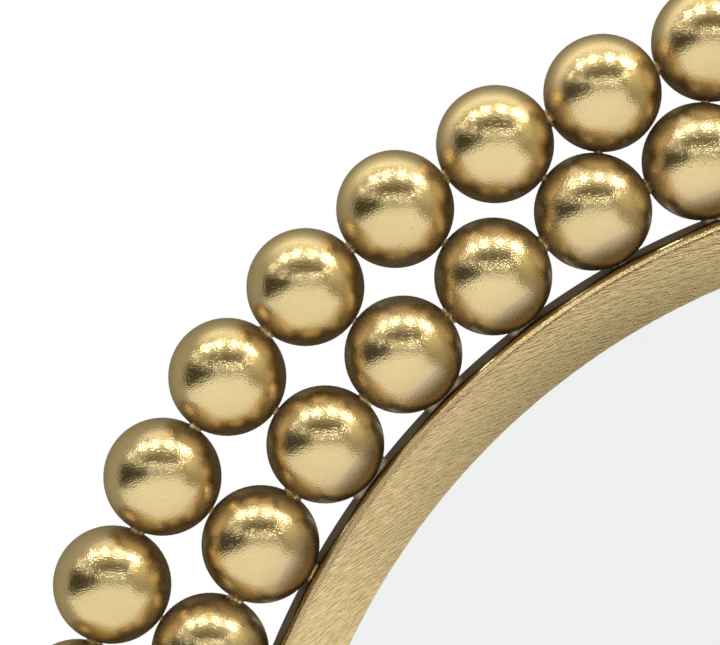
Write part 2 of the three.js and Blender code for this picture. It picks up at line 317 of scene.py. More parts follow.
def rgba(value):
    """A colour with its alpha, or a socket as it is."""
    return value if isinstance(value, Value) else (*value, 1.0)


def shaded(shade, factor):
    """A colour times a number."""
    return tuple(channel * factor for channel in shade)


def distance(first, second):
    """How far a place is from the middle, from two of its numbers."""
    return (first * first + second * second).math("SQRT")


def new_finish(name):
    """The finish of a new material."""
    return Finish(bpy.data.materials.new(name))


def aged_gold(settings):
    """Sprayed satin gold: fine grain, a few pits and rubbed marks, and painted shade from the mesh.

    The mesh holds how dark each corner is: up to 1 painted shade where balls face each other and the ring, from
    there to 2 a deeper painted shade towards the ring.
    """
    finish = new_finish("aged_gold")
    place = finish.place()
    leaf = finish.grain(place, 0.64 * MM, 0.0)
    dust = finish.grain(place, 0.6 * MM, 1.0)
    cloud = finish.grain(place, 22 * MM, 2.0)
    pits = finish.dots(place, 4.5 * MM, 0.10, 0.055)
    stretched = finish.node(
        "ShaderNodeVectorMath", {"operation": "MULTIPLY"}, {0: place, 1: (0.32, 1.0, 1.0)}
    )
    worn = finish.grain(place, 14 * MM, 1.0).step(0.60, 0.70)
    rubbed = finish.grain(stretched, 0.9 * MM, 2.0, 0.7).step(0.60, 0.70) * worn
    # how much painted shade each corner has, read from the mesh
    darkness = finish.node("ShaderNodeAttribute", {"attribute_name": "patina"}, output="Fac")
    patina, painted_ring_shade = darkness.clamped(), (darkness - 1).clamped()
    tarnish, painted_ring_shade_brown = (0.10, 0.085, 0.05), (0.14, 0.083, 0.025)
    base = finish.shades(cloud.step(0.3, 0.7), settings.gold, 0.95, 1.04)
    base = finish.mix(dust.step(0.40, 0.75) * 0.22, base, shaded(settings.gold, 0.55))
    base = finish.mix(rubbed * 0.45 + pits * 0.6, base, tarnish)
    # painted shade: brown where balls face each other and the ring, deeper brown close in, and darkest brown
    # towards the ring
    base = finish.mix(patina * (0.65 + leaf * 0.5), base, settings.patina)
    base = finish.mix((patina**8.0) * 0.48, base, shaded(settings.patina, 0.45))
    base = finish.mix(painted_ring_shade * 0.85, base, painted_ring_shade_brown)
    return finish.surface(
        Base_Color=base,
        Metallic=1 - (patina**16.0) * 0.12,
        Roughness=0.165 + dust * 0.05 + patina * 0.08 + pits * 0.3 + rubbed * 0.15,
        Specular_Tint=(0.75, 0.68, 0.58, 1.0),
        Normal=finish.bump(leaf + pits * -2.0 + rubbed * -0.6, 0.090 * MM),
    )


def bright_weld(settings):
    """Bare, heat-tinted metal of a weld bead."""
    finish = new_finish("bright_weld")
    place = finish.place()
    ripple = finish.grain(place, 0.7 * MM, 2.0)
    tint = finish.grain(place, 2.5 * MM, 1.0)
    base = finish.shades(tint.step(0.35, 0.65), settings.weld, 1.0, 0.62)
    return finish.surface(
        Base_Color=base,
        Metallic=0.55,
        Roughness=0.22 + ripple * 0.16,
        Normal=finish.bump(ripple, 0.2 * MM, 0.6),
    )


def dull_weld(settings):
    """Dark grey fillet metal, the same as the ring's outer wall."""
    finish = new_finish("dull_weld")
    place = finish.place()
    ripple = finish.grain(place, 1.2 * MM, 3.0, 0.6)
    base = finish.shades(ripple.step(0.3, 0.75), settings.wall, 0.7, 1.5)
    return finish.surface(
        Base_Color=base,
        Metallic=0.85,
        Roughness=0.42 + ripple * 0.2,
        Normal=finish.bump(ripple, 0.15 * MM, 0.5),
    )


def brushed_gold(settings):
    """Gold face brushed with strokes that slant across the ring, and a dull outer wall."""
    finish = new_finish("brushed_gold")
    place = finish.place()
    x, y, z = finish.split(place)
    radius = distance(x, z)
    turn = x.math("ARCTAN2", z * -1.0)  # 0 at the bottom, in radians, growing towards +X
    face_end = settings.sight_radius + settings.face_width
    wall = face_end + settings.shoulder
    middle = settings.sight_radius + settings.face_width / 2
    # the strokes' slant sways a little, in a few waves round the ring
    slant, sway, waves, flattest = math.radians(18.3), math.radians(5.8), 5, 114.5
    swing = (turn * waves - math.radians(waves * (flattest + 90))).math("SINE")
    bend = swing * (-math.cos(slant) * sway / waves)
    across = (radius - middle) * math.cos(slant) - (turn * math.sin(slant) + bend) * middle
    along = (radius - middle) * math.sin(slant) + turn * (math.cos(slant) * middle)
    hair = finish.grain(finish.joined(along * 0.12, across, 0.0), 0.60 * MM, 0.0)
    stroke = finish.grain(finish.joined(along * 0.04, across, 3.0), 1.6 * MM, 1.0, 0.5)
    grit = finish.grain(place, 0.62 * MM, 0.0)
    cloud = finish.grain(place, 30 * MM, 2.0)
    # painted shade: the face is darker in a few waves round the ring, most near the inner edge, and there the
    # brush strokes also cut deeper
    shade_waves, darkest_at = 4, 122
    shade_wave = (turn * shade_waves - math.radians(shade_waves * (darkest_at + 90))).math("COSINE")
    painted_shade_and_deep_brushing = (shade_wave * 0.5 + 0.5).clamped()
    outwards = radius.step(settings.sight_radius, face_end)
    marks = hair * 0.5 + grit * 0.25 + stroke * 0.25
    face = finish.shades(marks.step(0.38, 0.62), settings.gold, 0.72, 1.20)
    face = finish.mix(cloud.step(0.3, 0.7) * 0.12, face, shaded(settings.gold, 0.75))
    face = finish.mix(painted_shade_and_deep_brushing * (0.95 - outwards * 0.75), face, shaded(settings.gold, 0.42))
    rounded = finish.mix(grit.step(0.3, 0.7) * 0.25, settings.gold, shaded(settings.gold, 0.7))
    # the rounded shoulder turns darker towards the outer wall, taking on the wall's colour
    toward_wall = radius.step(wall - 1.5 * MM, wall - 0.3 * MM)
    rounded = finish.mix(toward_wall * 0.3, rounded, shaded(settings.wall, 0.9))
    drawn = finish.grain(finish.joined(turn * 0.4, radius * 3.0, y), 0.5 * MM, 2.0)
    side = finish.shades(drawn.step(0.35, 0.65), settings.wall, 0.75, 1.6)
    flat = 1 - radius.step(face_end - 0.7 * MM, face_end + 0.3 * MM)
    bare = radius.step(wall - 0.5 * MM, wall + 0.2 * MM)
    brushed = (hair + stroke * 0.4 + grit * 0.4) * (flat * (0.50 + painted_shade_and_deep_brushing * 1.8))
    return finish.surface(
        Base_Color=finish.mix(bare, finish.mix(flat, rounded, face), side),
        Metallic=1.0,
        Roughness=0.22 + flat * (marks * 0.08 - 0.02) + bare * 0.23,
        Normal=finish.bump(brushed + grit * 0.35 * (1 - flat), 0.14 * MM),
    )


def silvered_glass(ring):
    """Clean mirror with a thin scatter of gold overspray near the ring."""
    finish = new_finish("silvered_glass")
    place = finish.place()
    x, _, z = finish.split(place)
    edge = distance(x, z).step(ring.sight_radius - 14 * MM, ring.sight_radius)
    specks = finish.dots(place, 3.2 * MM, 0.10, 0.07) * edge
    dust = finish.dots(place, 13 * MM, 0.14, 0.02)
    hatched = finish.grain(finish.joined((x + z) * 0.12, x - z, 0.0), 0.8 * MM, 2.0, 0.6)
    smudge = hatched.step(0.56, 0.68) * edge * finish.grain(place, 16 * MM, 1.0).step(0.50, 0.62)
    marked = (specks * 0.8 + dust * 0.5 + smudge * 0.12).clamped()
    base = finish.mix(marked, (0.862, 0.868, 0.872), (0.42, 0.36, 0.24))
    return finish.surface(Base_Color=base, Metallic=1.0, Roughness=0.012 + marked * 0.4)


def foam_tape():
    """Dark closed-cell foam."""
    finish = new_finish("foam_tape")
    cells = finish.grain(finish.place(), 0.6 * MM, 3.0, 0.7)
    base = finish.mix(cells.step(0.3, 0.7), (0.030, 0.030, 0.031), (0.055, 0.055, 0.056))
    return finish.surface(
        Base_Color=base, Roughness=0.94, Normal=finish.bump(cells, 0.3 * MM, 0.6)
    )


def grey_felt():
    """Pressed grey felt with loose fibres."""
    finish = new_finish("grey_felt")
    place = finish.place()
    fibres = finish.grain(place, 1.1 * MM, 5.0, 0.75)
    cloud = finish.grain(place, 18 * MM, 2.0)
    tone = (fibres * 0.7 + cloud * 0.3).step(0.3, 0.7)
    base = finish.mix(tone, (0.12, 0.115, 0.105), (0.20, 0.19, 0.175))
    return finish.surface(
        Base_Color=base, Roughness=0.97, Normal=finish.bump(fibres, 0.5 * MM, 0.7)
    )


def painted_board(settings):
    """Fibreboard rolled with a thin dark paint, through which the fibres still show."""
    finish = new_finish("painted_board")
    place = finish.place()
    fibres = finish.grain(place, 1.6 * MM, 5.0, 0.7)
    stipple = finish.grain(place, 2.6 * MM, 3.0, 0.6)
    cloud = finish.grain(place, 70 * MM, 3.0)
    x, _, z = finish.split(place)
    scuffs = finish.grain(finish.joined(x * 0.12, z, x * 0.12 + z * 0.2), 1.4 * MM, 3.0, 0.7)
    worn = scuffs.step(0.66, 0.72) * cloud.step(0.5, 0.62)
    tone = (stipple * 0.5 + cloud * 0.5).step(0.35, 0.65)
    base = finish.shades(tone, settings.paint, 0.8, 1.7)
    base = finish.mix(worn * 0.35, base, (0.10, 0.085, 0.065))
    return finish.surface(
        Base_Color=base,
        Roughness=0.5 + stipple * 0.25 + worn * 0.1,
        Normal=finish.bump(fibres * 0.4 + stipple * 0.6, 0.22 * MM, 0.6),
    )


def zinc_steel(settings):
    """Zinc-plated steel with a faint spangle and fine drawing marks."""
    finish = new_finish("zinc_steel")
    place = finish.place()
    cells = finish.node("ShaderNodeTexVoronoi", sockets={"Vector": place, "Scale": 1 / (2.2 * MM)})
    spangle = finish.node("ShaderNodeSeparateColor", sockets={0: cells.beside("Color")})
    x, y, z = finish.split(place)
    drawn = finish.grain(finish.joined(x, y, z * 0.08), 0.35 * MM, 2.0)
    stain = finish.grain(place, 6 * MM, 2.0).step(0.55, 0.72)
    base = finish.mix(spangle * 0.35, settings.steel, shaded(settings.steel, 0.75))
    base = finish.mix(stain * 0.3, base, (0.46, 0.42, 0.33))
    return finish.surface(
        Base_Color=base,
        Metallic=1.0,
        Roughness=0.30 + spangle * 0.07 + drawn * 0.10,
        Normal=finish.bump(drawn, 0.03 * MM, 0.5),
    )


def black_rubber(settings):
    """Moulded rubber with a soft bloom."""
    finish = new_finish("black_rubber")
    place = finish.place()
    skin = finish.grain(place, 0.8 * MM, 3.0, 0.6)
    bloom = finish.grain(place, 5 * MM, 2.0).step(0.4, 0.75)
    base = finish.mix(bloom * 0.5, settings.rubber, (0.045, 0.044, 0.042))
    return finish.surface(
        Base_Color=base, Roughness=0.72 + bloom * 0.15, Normal=finish.bump(skin, 0.12 * MM, 0.5)
    )


# ---------------------------------------------------------------- mesh building

LUMPS_PER_METRE = 700.0
RING_SIDES = 1080
BOARD_SIDES = 240
SMALL_SIDES = 48  # of a screw or a bumper
CLEARANCE = 0.3 * MM  # round what turns or folds


class Shape:
    """Corners and faces under construction.

    Each face has the number of its material, and a corner may have a painted shade.
    """

    def __init__(self):
        self.corners = []
        self.faces = []
        self.numbers = []
        self.patina = {}

    def add_faces(self, faces, number=0):
        """Adds faces, as lists of corner numbers."""
        self.faces.extend(faces)
        self.numbers.extend([number] * len(faces))

    def loft(self, rings, number=0, is_loop=False, caps=True):
        """Skins rows of points. Each row is a closed ring; a row of one point is a tip."""
        starts = []
        for ring in rings:
            starts.append(len(self.corners))
            self.corners.extend(ring)
        made = []
        for row in range(len(rings) if is_loop else len(rings) - 1):
            following = (row + 1) % len(rings)
            a, b = starts[row], starts[following]
            here, there = len(rings[row]), len(rings[following])
            for side in range(max(here, there)):
                near, near_next = a + side % here, a + (side + 1) % here
                far, far_next = b + side % there, b + (side + 1) % there
                corners = [near, near_next, far_next, far]
                made.append([c for i, c in enumerate(corners) if c not in corners[:i]])
        if caps and not is_loop:
            if len(rings[0]) > 2:
                made.append([starts[0] + i for i in reversed(range(len(rings[0])))])
            if len(rings[-1]) > 2:
                made.append([starts[-1] + i for i in range(len(rings[-1]))])
        self.add_faces(made, number)

    def lathe(self, profile, sides, centre=(0.0, 0.0), is_loop=False, wander=None):
        """Turns a profile of (radius, y) about the Y line through centre, (x, z)."""
        cx, cz = centre
        rings = []
        for r, y in profile:
            if r == 0.0:
                rings.append([Vector((cx, y, cz))])
                continue
            ring = []
            for side in range(sides):
                turn = 2 * math.pi * side / sides
                reach = r + (wander(r, turn) if wander else 0.0)
                ring.append(Vector((cx + reach * math.cos(turn), y, cz + reach * math.sin(turn))))
            rings.append(ring)
        self.loft(rings, is_loop=is_loop, caps=False)

    def ellipsoid(self, centre, axes, bands, sides, number=0, lumps=0.0, blunt=1.0):
        """A closed egg with its pole along the first of three half-axes, blunt or lumpy if asked."""
        pole, side_axis, depth_axis = axes
        rings = [[centre - pole]]
        for band in range(1, bands):
            tilt = math.pi * band / bands
            reach = math.sin(tilt) ** blunt
            ring = []
            for side in range(sides):
                turn = 2 * math.pi * side / sides
                ring.append(
                    centre
                    - pole * math.cos(tilt)
                    + side_axis * (reach * math.cos(turn))
                    + depth_axis * (reach * math.sin(turn))
                )
            rings.append(ring)
        rings.append([centre + pole])
        if lumps:
            rings = [
                [p + (p - centre) * (lumps * noise.noise(p * LUMPS_PER_METRE)) for p in ring]
                for ring in rings
            ]
        self.loft(rings, number)

    def move(self, matrix):
        """Moves all the corners."""
        self.corners = [matrix @ corner for corner in self.corners]

    def piece(self, name, materials, nodes, sharp=40.0, bevel=0.0, body=None):
        """Makes the object, lets it ride on a body and stand for its CAD nodes."""
        mesh = bpy.data.meshes.new(name)
        mesh.from_pydata([tuple(corner) for corner in self.corners], [], self.faces)
        for material in materials:
            mesh.materials.append(material)
        mesh.polygons.foreach_set("material_index", self.numbers)
        mesh.polygons.foreach_set("use_smooth", [True] * len(mesh.polygons))
        if self.patina:
            darkness = [self.patina.get(i, 0.0) for i in range(len(self.corners))]
            mesh.attributes.new("patina", "FLOAT", "POINT").data.foreach_set("value", darkness)
        mesh.validate()
        made = bpy.data.objects.new(name, mesh)
        bpy.context.scene.collection.objects.link(made)
        if bevel:
            round_edges(made, bevel)
        made.data.set_sharp_from_angle(angle=math.radians(sharp))
        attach(made, body or BODY_OF[nodes[0]])
        if nodes:
            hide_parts(*nodes)
        return made


def round_edges(made, width):
    """Rounds the sharp edges of an object's mesh."""
    rounding = made.modifiers.new("Rounding", "BEVEL")
    rounding.width = width
    rounding.segments = 3
    rounding.limit_method = "ANGLE"
    rounding.angle_limit = math.radians(50)
    graph = bpy.context.evaluated_depsgraph_get()
    plain, made.data = made.data, bpy.data.meshes.new_from_object(made.evaluated_get(graph))
    made.modifiers.clear()
    bpy.data.meshes.remove(plain)
    made.data.name = made.name


def quad(corners):
    """A shape of one face with four corners."""
    shape = Shape()
    shape.corners = [Vector(corner) for corner in corners]
    shape.add_faces([[0, 1, 2, 3]])
    return shape


def on_circle(radius, turn, y):
    """A point of a circle about the Y axis, at a turn in radians."""
    return Vector((radius * math.cos(turn), y, radius * math.sin(turn)))


def softened(size):
    """A worn quarter round: a gentle slope over its first half, then a tighter turn."""
    rows = [(0.0, 0.0), (0.03, 0.004), (0.08, 0.013), (0.16, 0.028), (0.26, 0.048), (0.36, 0.068)]
    bends = ((0.46, 0.089), (0.72, 0.165), (1.0, 0.50), (1.0, 1.0))  # of a Bezier curve
    steps = 10
    for step in range(steps + 1):
        t = step / steps
        weights = ((1 - t) ** 3, 3 * t * (1 - t) ** 2, 3 * t * t * (1 - t), t**3)
        rows.append([sum(b[k] * weight for b, weight in zip(bends, weights)) for k in range(2)])
    return [(a * size, b * size) for a, b in rows]


def arc(centre, radius, start, end, steps):
    """Points (a, b) on an arc about centre, from start to end in degrees."""
    angles = [math.radians(start + (end - start) * i / steps) for i in range(steps + 1)]
    return [(centre[0] + radius * math.cos(a), centre[1] + radius * math.sin(a)) for a in angles]


# ---------------------------------------------------------------- the rows of balls

BALL_BANDS = 28
BEAD_THICKNESS = 1.4 * MM
NECK_REACH = 1.7 * MM
LEAST_FAULT = 2.5 * MM  # a chain that lies further off than this is in the wrong place
WELD_FACES = 1  # number of the weld's material in a chain
BRIGHT_FACES, DULL_FACES = 0, 1  # numbers of the materials of the welds at the ring


def inner_row(balls):
    """Centres of the inner row, which sits on the ring."""
    spacing = balls.diameter + balls.gap
    count = int(math.pi / math.asin(spacing / 2 / balls.inner_radius))
    step = 2 * math.pi / count
    return [
        on_circle(balls.inner_radius, balls.inner_start + i * step, -balls.depth)
        for i in range(count)
    ]


def outer_row(balls, inner_count):
    """Centres of the outer row, which rests on the inner one and dips between its balls."""
    spacing = balls.diameter + balls.gap
    inner_step = 2 * math.pi / inner_count

    def centre_at(turn):
        """Centre of a ball at a turn, resting on the nearest ball of the inner row."""
        steps = (turn - balls.inner_start) / inner_step
        off = (steps - round(steps)) * inner_step
        rise = spacing**2 - (balls.inner_radius * math.sin(off)) ** 2
        return on_circle(balls.inner_radius * math.cos(off) + math.sqrt(rise), turn, -balls.depth)

    def solve(low, high, is_short):
        """The least value that isn't short any more."""
        for _ in range(50):
            middle = (low + high) / 2
            low, high = (middle, high) if is_short(middle) else (low, middle)
        return low

    def walk(count, step):
        """Turns of the first balls and the next one, each a step from the one before."""
        turns = [balls.outer_start]
        while len(turns) <= count:
            start, here = turns[-1], centre_at(turns[-1])
            following = solve(
                start, start + 2 * inner_step, lambda tried: (centre_at(tried) - here).length < step
            )
            turns.append(following)
        return turns

    full_turn = balls.outer_start + 2 * math.pi
    count = 1
    while walk(count + 1, spacing)[-1] <= full_turn:
        count += 1
    step = solve(spacing, 2 * spacing, lambda tried: walk(count, tried)[-1] < full_turn)
    return [centre_at(turn) for turn in walk(count, step)[:count]]


def chain_spans(row, chains):
    """First and last ball of each chain of a row."""
    starts = [math.floor(i * len(row) / chains + 0.5) for i in range(chains + 1)]
    return [(starts[i], starts[i + 1] - 1) for i in range(chains)]


def smoothstep(low, high, value):
    """0 below low, 1 above high, and a smooth rise between them."""
    share = min(max((value - low) / (high - low), 0.0), 1.0)
    return share * share * (3 - 2 * share)


def painted_shade_ways(ball, others, balls, is_inner):
    """Where a ball gets painted shade: a way, how near it the painted shade starts and is full, and how dark."""
    start, full = (0.38, 0.89) if is_inner else (0.44, 0.93)
    near = balls.diameter * 1.25
    ways = [other - ball for other in others if other is not ball]
    dark = [(way.normalized(), start, full, 1.0) for way in ways if way.length < near]
    if is_inner:
        inwards = Vector((-ball.x, 0, -ball.z)).normalized()
        # inner balls also get painted shade towards the ring, and past 1 a deeper painted shade
        dark += [(inwards, 0.12, 0.66, 1.0), (inwards, 0.34, 0.84, 2.0)]
    return dark


def add_ball(shape, row, i, radius, dark_ways):
    """A ball with its poles at the welds of its row."""
    after, before = row[(i + 1) % len(row)], row[i - 1]
    pole = (after - before).normalized()
    outward = Y_AXIS.cross(pole)
    start = len(shape.corners)
    axes = (pole * radius, outward * radius, Y_AXIS * radius)
    shape.ellipsoid(row[i], axes, BALL_BANDS, 2 * BALL_BANDS)
    # each corner's painted shade, from how it faces its neighbours and the ring
    for index in range(start, len(shape.corners)):
        normal = (shape.corners[index] - row[i]) / radius
        shape.patina[index] = max(
            most * smoothstep(low, high, normal.dot(way)) for way, low, high, most in dark_ways
        )


def add_bead(shape, first, second, reach, thickness):
    """A weld bead half way between two balls, across the line that joins them."""
    pole = (second - first).normalized()
    outward = Y_AXIS.cross(pole)
    centre = (first + second) / 2
    lean = 1 + 0.25 * noise.noise(centre * 90.0)
    axes = (pole * (thickness * lean), outward * (reach * (2 - lean)), Y_AXIS * (reach * 1.55))
    shape.ellipsoid(centre, axes, 16, 36, WELD_FACES, lumps=0.5, blunt=0.45)


def check_place(node, centres):
    """Stops if the balls don't lie where the CAD chain is."""
    low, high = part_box(node)
    ends = [(min(c[axis] for c in centres), max(c[axis] for c in centres)) for axis in range(3)]
    off = ((low + high) / 2 - Vector([(least + most) / 2 for least, most in ends])).length
    if off > LEAST_FAULT:
        raise ValueError(f"the balls of {node} lie {off} m off")


# ---------------------------------------------------------------- operators


class BuildBalls(Operator):
    """Two rows of smooth gold balls with weld beads at their contacts"""

    bl_idname = "mirror.build_balls"
    bl_label = "Balls"

    def execute(self, context):
        settings = context.scene.mirror
        balls, ring = settings.balls, settings.ring
        gold, bright = aged_gold(balls), bright_weld(balls)
        inner = inner_row(balls)
        outer = outer_row(balls, len(inner))
        for kind, row, chains in (
            ("inner", inner, balls.inner_chains),
            ("outer", outer, balls.outer_chains),
        ):
            is_inner = kind == "inner"
            for number, (first, last) in enumerate(chain_spans(row, chains), 1):
                node = f"{kind}_balls_{number:02d}"
                check_place(node, row[first : last + 1])
                shape = Shape()
                for i in range(first, last + 1):
                    dark_ways = painted_shade_ways(row[i], inner + outer, balls, is_inner)
                    add_ball(shape, row, i, balls.diameter / 2, dark_ways)
                    swell = 1 + 0.3 * noise.noise(row[i] * 55.0)
                    reach = balls.bead_radius * swell
                    add_bead(shape, row[i], row[(i + 1) % len(row)], reach, BEAD_THICKNESS * swell)
                    if not is_inner:
                        self.add_necks(shape, row[i], inner, balls)
                name = f"{kind}_chain_{number:02d}"
                shape.piece(name, [gold, bright], [node])
        self.add_ring_welds(inner, balls, ring, [bright, dull_weld(ring)])
        return {"FINISHED"}

    def add_necks(self, shape, ball, inner, balls):
        """Small necks from an outer ball to each inner ball that it rests on."""
        for other in inner:
            if (other - ball).length < balls.diameter + 2 * balls.gap:
                reach = NECK_REACH * (1 + 0.4 * noise.noise(ball * 70.0))
                add_bead(shape, ball, other, reach, BEAD_THICKNESS)

    def add_ring_welds(self, inner, balls, ring, materials):
        """Where the inner balls meet the ring: dark fillets behind, and a few bright beads."""
        shape = Shape()
        wall = ring.sight_radius + ring.face_width + ring.shoulder
        # mm of fillet towards the ball before and after, and of bright bead, by the ball's number
        fillets = {44: (10.5, 10.5), 0: (10.5, 11.0), 43: (1.0, 9.5), 1: (0.0, 0.0), 42: (3.0, 2.0)}
        beads = {1: 4.2, 41: 3.6}
        for i, ball in enumerate(inner):
            outward = Vector((ball.x, 0, ball.z)).normalized()
            tangent = Vector((-outward.z, 0, outward.x))  # towards larger angles
            seat = outward * wall + Vector((0, ball.y, 0))
            before, after = fillets.get(i, (3 + (i * 37) % 8, 3 + (i * 53) % 8))
            if before or after:
                span = (-before * MM, after * MM)
                self.add_fillet(shape, ball, (outward, tangent), wall, span, balls.diameter / 2)
            reach = beads.get(i, 3.0 if i % 7 == 3 else 0.0) * MM
            if reach:
                centre = seat + outward * (0.35 * MM) + Vector((0, -0.4 * MM, 0))
                axes = (tangent * reach, outward * (0.95 * MM), Y_AXIS * (1.6 * MM))
                shape.ellipsoid(centre, axes, 14, 16, BRIGHT_FACES, lumps=0.3)
            back = seat + outward * (0.6 * MM) + Vector((0, 4.5 * MM, 0))
            axes = (tangent * (5.0 * MM), outward * (1.3 * MM), Y_AXIS * (3.0 * MM))
            shape.ellipsoid(back, axes, 12, 14, DULL_FACES, lumps=0.3)
        shape.piece("ring_welds", materials, [], body="frame")

    def add_fillet(self, shape, ball, ways, wall, span, radius):
        """Fills the wedge between a ball and the ring's wall, a little behind the middle."""
        outward, tangent = ways
        first, last = span
        rings = []
        steps = 14
        for step in range(steps + 1):
            s = first + (last - first) * step / steps
            inside = radius - math.sqrt(radius**2 - s**2)  # how far the ball curves off the wall
            # 0 at the fillet's ends, 1 along its middle
            rise, fall = (s - first) / (1e-6 - 0.35 * first), (last - s) / (1e-6 + 0.35 * last)
            fullness = max(min(rise, fall, 1.0), 0.0)
            front = ball.y + (0.6 + 2.6 * (1 - fullness**0.5)) * MM
            rear = ball.y + 8.0 * MM
            low = outward * (math.sqrt(wall**2 - s**2) - 0.6 * MM)
            high = outward * (ball.dot(outward) - radius + inside + 0.5 * MM)
            if high.length < low.length + 0.3 * MM:
                high = low + outward * (0.3 * MM)
            ring = []
            for base, y in ((low, front), (high, front), (high, rear), (low, rear)):
                point = base + tangent * s + Vector((0, y, 0))
                ring.append(point + Y_AXIS * (0.35 * MM * noise.noise(point * 400.0)))
            rings.append(ring)
        shape.loft(rings, DULL_FACES)


class BuildRing(Operator):
    """The pressed ring: a brushed face, a rounded shoulder and a dull outer wall"""

    bl_idname = "mirror.build_ring"
    bl_label = "Ring"

    def execute(self, context):
        ring = context.scene.mirror.ring
        front, back = RING_LOW.y, RING_HIGH.y
        lip_back = front + ring.sheet
        sight, rebate = ring.sight_radius, ring.sight_radius + ring.rebate_lap
        shoulder_at = sight + ring.face_width
        wall = shoulder_at + ring.shoulder
        wall_back = RING_HIGH.x
        channel = rebate + ring.sheet
        inner_shoulder = ring.shoulder - ring.sheet
        foot = front + ring.shoulder
        round_edge = 0.25 * MM
        profile = [
            *arc((wall_back - round_edge, back - round_edge), round_edge, 0, 90, 3),
            *arc((wall_back - ring.sheet + round_edge, back - round_edge), round_edge, 90, 180, 3),
            *arc((wall - ring.sheet - inner_shoulder, foot), inner_shoulder, 0, -90, 6),
            (channel + 0.4 * MM, lip_back),
            (channel, lip_back + 0.4 * MM),
            *arc((channel - round_edge, back - round_edge), round_edge, 0, 90, 2),
            *arc((rebate + round_edge, back - round_edge), round_edge, 90, 180, 2),
            (rebate, lip_back),
            (sight + 0.1 * MM, lip_back),
            (sight, lip_back - 0.1 * MM),
            *arc((sight + ring.lip, front + ring.lip), ring.lip, 180, 270, 6),
            *((sight + ring.face_width * share, front) for share in (0.1, 0.4, 0.7, 1.0)),
            *((shoulder_at + a, front + b) for a, b in softened(ring.shoulder)[1:]),
            ((wall + wall_back) / 2, (foot + back) / 2),
        ]
        shape = Shape()
        edge_limit = sight + ring.lip * 1.05

        def wander(r, turn):
            """How far a place of the chipped inner edge stands out."""
            if r > edge_limit:
                return 0.0
            spot = Vector((math.cos(turn), math.sin(turn), 0.0))
            rough = noise.noise(spot * 160.0) + 0.7 * noise.noise(spot * 420.0)
            return ring.chipping * max(-0.3, rough)

        shape.lathe(profile, RING_SIDES, is_loop=True, wander=wander)
        shape.piece("ring", [brushed_gold(ring)], ["frame_ring"], sharp=50)
        return {"FINISHED"}


class BuildMirror(Operator):
    """The mirror glass, the tape in front of it and the felt behind it"""

    bl_idname = "mirror.build_glass"
    bl_label = "Mirror Glass"

    def execute(self, context):
        finishes = {
            "mirror_glass": silvered_glass(context.scene.mirror.ring),
            "glazing_tape": foam_tape(),
            "cushion_sheet": grey_felt(),
        }
        for node, material in finishes.items():
            mesh = frame["nodes"][node].data
            for i in range(len(mesh.materials)):
                mesh.materials[i] = material
        return {"FINISHED"}


class BuildBoard(Operator):
    """The painted backing board and its rubber bumpers"""

    bl_idname = "mirror.build_board"
    bl_label = "Backing Board"

    def execute(self, context):
        back = context.scene.mirror.back
        edge, soft = BOARD_HIGH.x, 1.2 * MM
        profile = [
            (0.0, BOARD_LOW.y),
            *arc((edge - soft, BOARD_LOW.y + soft), soft, -90, 0, 4),
            *arc((edge - soft, BOARD_HIGH.y - soft), soft, 0, 90, 4),
            (0.0, BOARD_HIGH.y),
        ]
        shape = Shape()
        shape.lathe(profile, BOARD_SIDES)
        shape.piece("board", [painted_board(back)], ["backing_board"])
        rubber = black_rubber(back)
        for number in range(1, 5):
            node = f"wall_bumper_{number}"
            low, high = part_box(node)
            middle = (low + high) / 2
            foot, top, wide = low.y, high.y, back.bumper_radius
            profile = [
                (0.0, foot),
                (wide - 0.3 * MM, foot),
                (wide, foot + 0.4 * MM),
                (wide - 0.15 * MM, foot + 1.2 * MM),
                *arc((wide - 2.4 * MM, top - 1.4 * MM), 1.4 * MM, 10, 90, 5),
                (2.2 * MM, top),
                (1.6 * MM, top - 0.5 * MM),
                (0.0, top - 0.6 * MM),
            ]
            shape = Shape()
            shape.lathe(profile, SMALL_SIDES, (middle.x, middle.z))
            shape.piece(f"bumper_{number}", [rubber], [node])
        return {"FINISHED"}


class BuildButtons(Operator):
    """The turn buttons that hold the board in, with their lugs and screws"""

    bl_idname = "mirror.build_buttons"
    bl_label = "Turn Buttons"

    def execute(self, context):
        settings = context.scene.mirror
        ring, back = settings.ring, settings.back
        steel = zinc_steel(back)
        hole = back.shank_radius + CLEARANCE
        for number in range(1, 7):
            screw = f"turn_button_screw_{number}"
            pivot = screw_place(screw)
            turn = math.atan2(pivot.z, pivot.x)
            to_place = Matrix.Translation(pivot) @ Matrix.Rotation(-turn, 4, "Y")
            inner = ring.sight_radius + ring.rebate_lap + ring.sheet - pivot.length
            outer = RING_HIGH.x - ring.sheet - 0.75 * MM - pivot.length
            half = back.lug_width / 2
            lug = [(inner, -half), (outer, -half), (outer, half), (inner, half)]
            half = back.button_width / 2
            button = arc((0.0, 0.0), half, -90, 90, 20)
            button += arc((-back.button_reach, 0.0), half, 90, 270, 20)
            for name, outline, node in (
                (f"lug_{number}", lug, f"button_lug_{number}"),
                (f"button_{number}", button, f"turn_button_{number}"),
            ):
                low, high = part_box(node)
                shape = Shape()
                add_plate(shape, outline, low.y, high.y, hole)
                shape.move(to_place)
                shape.piece(name, [steel], [node], bevel=0.3 * MM)
            add_screw(back, steel, screw, f"button_screw_{number}")
        return {"FINISHED"}


def screw_place(node):
    """Middle of a screw, as seen along Y."""
    low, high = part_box(node)
    return Vector(((low.x + high.x) / 2, 0, (low.z + high.z) / 2))


def add_plate(shape, outline, low_y, high_y, hole):
    """A flat plate in X and Z with a round hole at the origin, as one closed skin."""
    turns = [math.atan2(z, x) for x, z in outline]
    bore = [(hole * math.cos(turn), hole * math.sin(turn)) for turn in turns]
    rings = [
        [Vector((x, y, z)) for x, z in edge]
        for edge, y in ((bore, low_y), (outline, low_y), (outline, high_y), (bore, high_y))
    ]
    shape.loft(rings, is_loop=True)


